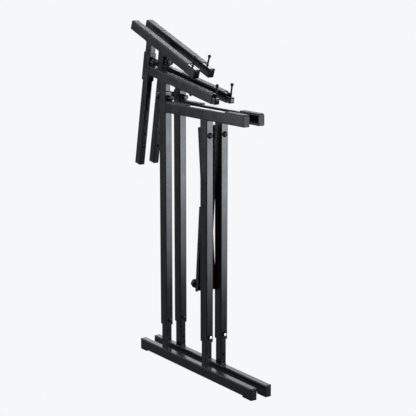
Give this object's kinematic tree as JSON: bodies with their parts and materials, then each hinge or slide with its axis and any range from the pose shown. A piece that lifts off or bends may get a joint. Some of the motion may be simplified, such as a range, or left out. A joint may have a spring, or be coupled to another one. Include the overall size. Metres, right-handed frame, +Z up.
{
  "type": "folding keyboard stand",
  "caption": "Folding steel keyboard stand with stacked arms on telescoping side frames, folded flat, with a hinged cross-beam between the frames.",
  "frame": {"origin": "on the floor under the middle of the folded stand's bounding box", "axes": "+Z up, +Y from the front ends of the arms to the rear, +X from the left side frame to the right one"},
  "size_m": [0.0742, 0.596, 0.9975],
  "materials": {
    "powder_coated_steel": "satin black powder coat",
    "black_moulded_plastic": "moulded matte black",
    "black_knob_plastic": "smooth moulded black",
    "black_rubber": "matte moulded rubber",
    "bright_plated_steel": "bright plated",
    "black_hardware": "black finished steel"
  },
  "bodies": {
    "left_base": {"left_foot": "powder_coated_steel", "left_foot_caps": "black_moulded_plastic", "left_front_inner_post": "powder_coated_steel", "left_rear_inner_post": "powder_coated_steel"},
    "left_frame": {"left_front_upright": "powder_coated_steel", "left_rear_upright": "powder_coated_steel", "left_frame_inserts": "black_moulded_plastic", "left_lower_arm": "powder_coated_steel", "left_lower_arm_pads": "black_rubber", "left_beam_bolt": "black_hardware"},
    "left_second_tier": {"left_second_post": "powder_coated_steel", "left_second_arm": "powder_coated_steel", "left_second_sleeve": "powder_coated_steel", "left_second_arm_pad": "black_rubber"},
    "left_third_tier": {"left_third_post": "powder_coated_steel", "left_third_arm": "powder_coated_steel", "left_third_arm_pads": "black_rubber", "left_third_plugs": "black_moulded_plastic"},
    "left_second_stop_slider": {"left_second_stop": "powder_coated_steel", "left_second_stop_pin": "black_hardware"},
    "left_third_stop_slider": {"left_third_stop": "powder_coated_steel", "left_third_stop_pin": "black_hardware"},
    "left_second_clamp": {"left_second_knob": "black_knob_plastic"},
    "left_third_clamp": {"left_third_knob": "black_knob_plastic"},
    "left_second_lock": {"left_second_plunger": "bright_plated_steel"},
    "left_front_leg_lock": {"left_front_leg_plunger": "bright_plated_steel"},
    "left_rear_leg_lock": {"left_rear_leg_plunger": "bright_plated_steel"},
    "left_beam_half": {"left_beam": "powder_coated_steel", "knuckle_bolt": "black_hardware"},
    "right_beam_half": {"right_beam": "powder_coated_steel", "beam_lock_channel": "powder_coated_steel"},
    "beam_lock": {"beam_lock_knob": "black_knob_plastic"},
    "right_base": {"right_foot": "powder_coated_steel", "right_foot_caps": "black_moulded_plastic", "right_front_inner_post": "powder_coated_steel", "right_rear_inner_post": "powder_coated_steel"},
    "right_frame": {"right_front_upright": "powder_coated_steel", "right_rear_upright": "powder_coated_steel", "right_frame_inserts": "black_moulded_plastic", "right_lower_arm": "powder_coated_steel", "right_lower_arm_pads": "black_rubber", "right_beam_bolt": "black_hardware"},
    "right_second_tier": {"right_second_post": "powder_coated_steel", "right_second_arm": "powder_coated_steel", "right_second_sleeve": "powder_coated_steel", "right_second_arm_pad": "black_rubber"},
    "right_third_tier": {"right_third_post": "powder_coated_steel", "right_third_arm": "powder_coated_steel", "right_third_arm_pads": "black_rubber", "right_third_plugs": "black_moulded_plastic"},
    "right_second_stop_slider": {"right_second_stop": "powder_coated_steel", "right_second_stop_pin": "black_hardware"},
    "right_third_stop_slider": {"right_third_stop": "powder_coated_steel", "right_third_stop_pin": "black_hardware"},
    "right_second_clamp": {"right_second_knob": "black_knob_plastic"},
    "right_third_clamp": {"right_third_knob": "black_knob_plastic"},
    "right_second_lock": {"right_second_plunger": "bright_plated_steel"},
    "right_front_leg_lock": {"right_front_leg_plunger": "bright_plated_steel"},
    "right_rear_leg_lock": {"right_rear_leg_plunger": "bright_plated_steel"}
  },
  "joints": [
    {"name": "left_leg_slide", "type": "slide", "parent": "left_base", "child": "left_frame", "axis": [0, 0, 1], "range_m": [-0.06, 0.24]},
    {"name": "left_second_tier_slide", "type": "slide", "parent": "left_frame", "child": "left_second_tier", "axis": [0, 0, 1], "range_m": [0, 0.18]},
    {"name": "left_third_tier_slide", "type": "slide", "parent": "left_second_tier", "child": "left_third_tier", "axis": [0, -0.1857, 0.9826], "range_m": [-0.01, 0.22]},
    {"name": "left_second_stop_slide", "type": "slide", "parent": "left_second_tier", "child": "left_second_stop_slider", "axis": [0, -0.9854, -0.1702], "range_m": [-0.022, 0.03]},
    {"name": "left_third_stop_slide", "type": "slide", "parent": "left_third_tier", "child": "left_third_stop_slider", "axis": [0, -0.9367, -0.3502], "range_m": [-0.009, 0.063]},
    {"name": "left_second_knob_turn", "type": "hinge", "parent": "left_frame", "child": "left_second_clamp", "pos_m": [-0.025, 0.12998, 0.786], "axis": [0, 1, 0], "continuous": true},
    {"name": "left_third_knob_turn", "type": "hinge", "parent": "left_second_tier", "child": "left_third_clamp", "pos_m": [-0.025, 0.21213, 0.88679], "axis": [0, -0.9826, -0.1857], "continuous": true},
    {"name": "left_second_plunger_pull", "type": "slide", "parent": "left_frame", "child": "left_second_lock", "axis": [0, -1, 0], "range_m": [0, 0.006], "stiffness_N_per_m": 1000, "springref_m": -0.003},
    {"name": "left_front_leg_plunger_pull", "type": "slide", "parent": "left_frame", "child": "left_front_leg_lock", "axis": [0, -1, 0], "range_m": [0, 0.006], "stiffness_N_per_m": 1000, "springref_m": -0.003},
    {"name": "left_rear_leg_plunger_pull", "type": "slide", "parent": "left_frame", "child": "left_rear_leg_lock", "axis": [0, -1, 0], "range_m": [0, 0.006], "stiffness_N_per_m": 1000, "springref_m": -0.003},
    {"name": "left_beam_fold", "type": "hinge", "parent": "left_frame", "child": "left_beam_half", "pos_m": [-0.025, -0.05872, 0.702], "axis": [0, -1, 0], "range_deg": [0, 86.5]},
    {"name": "knuckle_fold", "type": "hinge", "parent": "left_beam_half", "child": "right_beam_half", "pos_m": [0, -0.05872, 0.265], "axis": [0, 1, 0], "range_deg": [0, 173]},
    {"name": "right_beam_fold", "type": "hinge", "parent": "right_beam_half", "child": "right_frame", "pos_m": [0.025, -0.05872, 0.702], "axis": [0, -1, 0], "range_deg": [0, 86.5]},
    {"name": "beam_lock_knob_turn", "type": "hinge", "parent": "right_beam_half", "child": "beam_lock", "pos_m": [-0.02196, -0.03542, 0.26626], "axis": [0, 1, 0], "continuous": true},
    {"name": "right_second_tier_slide", "type": "slide", "parent": "right_frame", "child": "right_second_tier", "axis": [0, 0, 1], "range_m": [0, 0.18]},
    {"name": "right_third_tier_slide", "type": "slide", "parent": "right_second_tier", "child": "right_third_tier", "axis": [0, -0.1857, 0.9826], "range_m": [-0.01, 0.22]},
    {"name": "right_second_stop_slide", "type": "slide", "parent": "right_second_tier", "child": "right_second_stop_slider", "axis": [0, -0.9854, -0.1702], "range_m": [-0.022, 0.03]},
    {"name": "right_third_stop_slide", "type": "slide", "parent": "right_third_tier", "child": "right_third_stop_slider", "axis": [0, -0.9367, -0.3502], "range_m": [-0.009, 0.063]},
    {"name": "right_second_knob_turn", "type": "hinge", "parent": "right_frame", "child": "right_second_clamp", "pos_m": [0.025, 0.12998, 0.786], "axis": [0, 1, 0], "continuous": true},
    {"name": "right_third_knob_turn", "type": "hinge", "parent": "right_second_tier", "child": "right_third_clamp", "pos_m": [0.025, 0.21213, 0.88679], "axis": [0, -0.9826, -0.1857], "continuous": true},
    {"name": "right_second_plunger_pull", "type": "slide", "parent": "right_frame", "child": "right_second_lock", "axis": [0, -1, 0], "range_m": [0, 0.006], "stiffness_N_per_m": 1000, "springref_m": -0.003},
    {"name": "right_front_leg_plunger_pull", "type": "slide", "parent": "right_frame", "child": "right_front_leg_lock", "axis": [0, -1, 0], "range_m": [0, 0.006], "stiffness_N_per_m": 1000, "springref_m": -0.003},
    {"name": "right_rear_leg_plunger_pull", "type": "slide", "parent": "right_frame", "child": "right_rear_leg_lock", "axis": [0, -1, 0], "range_m": [0, 0.006], "stiffness_N_per_m": 1000, "springref_m": -0.003},
    {"name": "right_leg_slide", "type": "slide", "parent": "right_frame", "child": "right_base", "axis": [0, 0, -1], "range_m": [-0.06, 0.24]}
  ],
  "couplings": [
    {"joint": "knuckle_fold", "follows": "left_beam_fold", "ratio": 2},
    {"joint": "right_beam_fold", "follows": "left_beam_fold", "ratio": 1}
  ]
}
